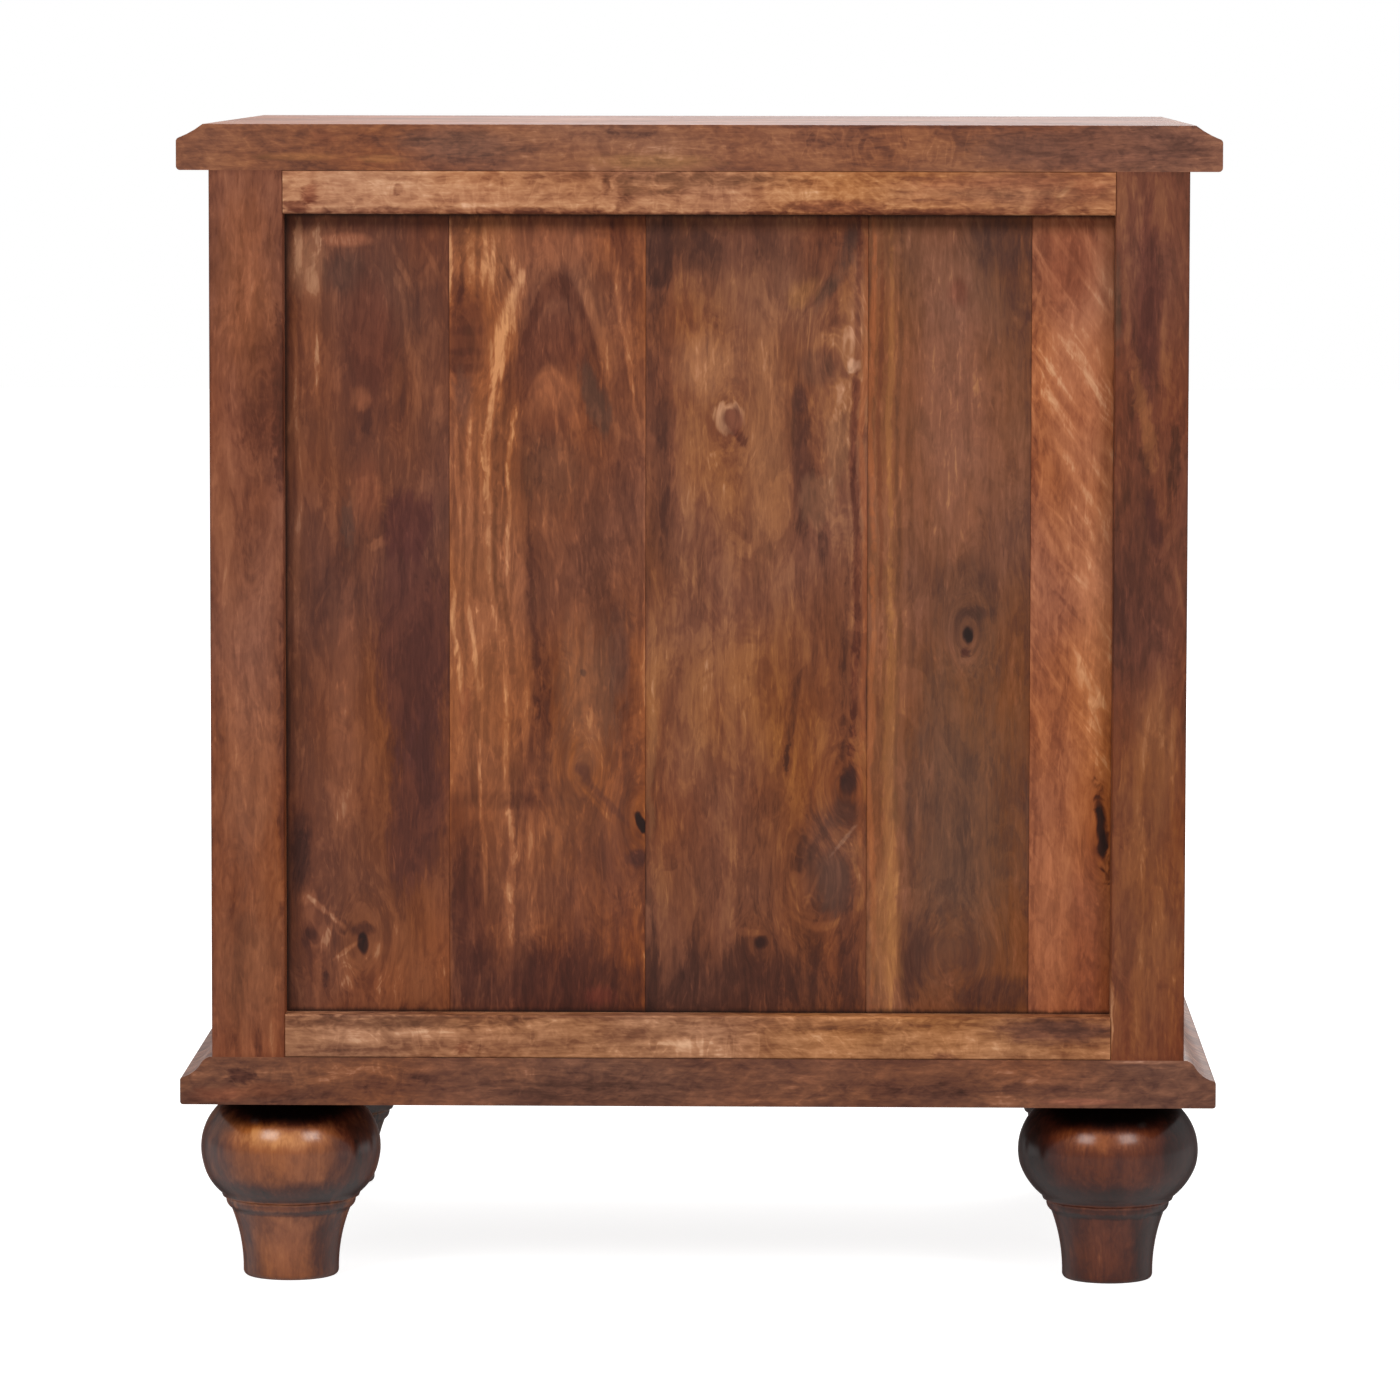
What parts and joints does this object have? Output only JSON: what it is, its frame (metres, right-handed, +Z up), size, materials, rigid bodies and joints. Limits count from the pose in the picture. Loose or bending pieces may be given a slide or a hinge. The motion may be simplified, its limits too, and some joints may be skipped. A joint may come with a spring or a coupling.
{
  "type": "nightstand",
  "caption": "Wooden bedside cabinet with framed and panelled back and sides, moulded top and plinth, inset drawers with turned knobs, and turned bun feet.",
  "frame": {"origin": "on the floor under the middle of the cabinet's bounding box, drawer knobs included", "axes": "+Z up, +Y towards the plain back, -Y towards the drawer fronts, +X to the right as seen from the front"},
  "size_m": [0.5, 0.4136, 0.563],
  "materials": {
    "top_wood": "satin lacquer over chestnut stain",
    "plinth_wood": "satin lacquer over chestnut stain",
    "post_wood": "satin lacquer over chestnut stain",
    "rail_wood": "satin lacquer over chestnut stain",
    "back_plank_wood": "satin lacquer over chestnut stain",
    "side_panel_wood": "satin lacquer over chestnut stain",
    "drawer_front_wood": "satin lacquer over chestnut stain",
    "drawer_box_wood": "thin matt sealer over pale wood",
    "runner_wood": "bare, planed",
    "foot_wood": "gloss lacquer over chestnut stain",
    "knob_wood": "gloss lacquer over chestnut stain",
    "screw_steel": "zinc plated"
  },
  "bodies": {
    "carcass": {"top_board": "top_wood", "plinth_board": "plinth_wood", "front_left_post": "post_wood", "front_right_post": "post_wood", "rear_left_post": "post_wood", "rear_right_post": "post_wood", "front_bottom_rail": "rail_wood", "lower_drawer_divider": "rail_wood", "upper_drawer_divider": "rail_wood", "front_top_rail": "rail_wood", "back_bottom_rail": "rail_wood", "back_top_rail": "rail_wood", "left_side_bottom_rail": "rail_wood", "left_side_top_rail": "rail_wood", "right_side_bottom_rail": "rail_wood", "right_side_top_rail": "rail_wood", "back_plank_1": "back_plank_wood", "back_plank_2": "back_plank_wood", "back_plank_3": "back_plank_wood", "back_plank_4": "back_plank_wood", "back_plank_5": "back_plank_wood", "left_side_panel": "side_panel_wood", "right_side_panel": "side_panel_wood", "bottom_drawer_left_runner": "runner_wood", "bottom_drawer_right_runner": "runner_wood", "middle_drawer_left_runner": "runner_wood", "middle_drawer_right_runner": "runner_wood", "top_drawer_left_runner": "runner_wood", "top_drawer_right_runner": "runner_wood", "left_kicker": "runner_wood", "right_kicker": "runner_wood", "drawer_stops": "runner_wood", "front_left_foot": "foot_wood", "front_right_foot": "foot_wood", "rear_left_foot": "foot_wood", "rear_right_foot": "foot_wood", "top_fixing_screws": "screw_steel", "plinth_screws": "screw_steel", "runner_screws": "screw_steel"},
    "bottom_drawer": {"bottom_drawer_front": "drawer_front_wood", "bottom_drawer_left_side": "drawer_box_wood", "bottom_drawer_right_side": "drawer_box_wood", "bottom_drawer_back": "drawer_box_wood", "bottom_drawer_bottom": "drawer_box_wood", "bottom_drawer_knob": "knob_wood", "bottom_drawer_knob_screw": "screw_steel"},
    "middle_drawer": {"middle_drawer_front": "drawer_front_wood", "middle_drawer_left_side": "drawer_box_wood", "middle_drawer_right_side": "drawer_box_wood", "middle_drawer_back": "drawer_box_wood", "middle_drawer_bottom": "drawer_box_wood", "middle_drawer_knob": "knob_wood", "middle_drawer_knob_screw": "screw_steel"},
    "top_drawer": {"top_drawer_front": "drawer_front_wood", "top_drawer_left_side": "drawer_box_wood", "top_drawer_right_side": "drawer_box_wood", "top_drawer_back": "drawer_box_wood", "top_drawer_bottom": "drawer_box_wood", "top_drawer_knob": "knob_wood", "top_drawer_knob_screw": "screw_steel"}
  },
  "joints": [
    {"name": "bottom_drawer_slide", "type": "slide", "parent": "carcass", "child": "bottom_drawer", "axis": [0, -1, 0], "range_m": [0, 0.26]},
    {"name": "middle_drawer_slide", "type": "slide", "parent": "carcass", "child": "middle_drawer", "axis": [0, -1, 0], "range_m": [0, 0.26]},
    {"name": "top_drawer_slide", "type": "slide", "parent": "carcass", "child": "top_drawer", "axis": [0, -1, 0], "range_m": [0, 0.26]}
  ]
}
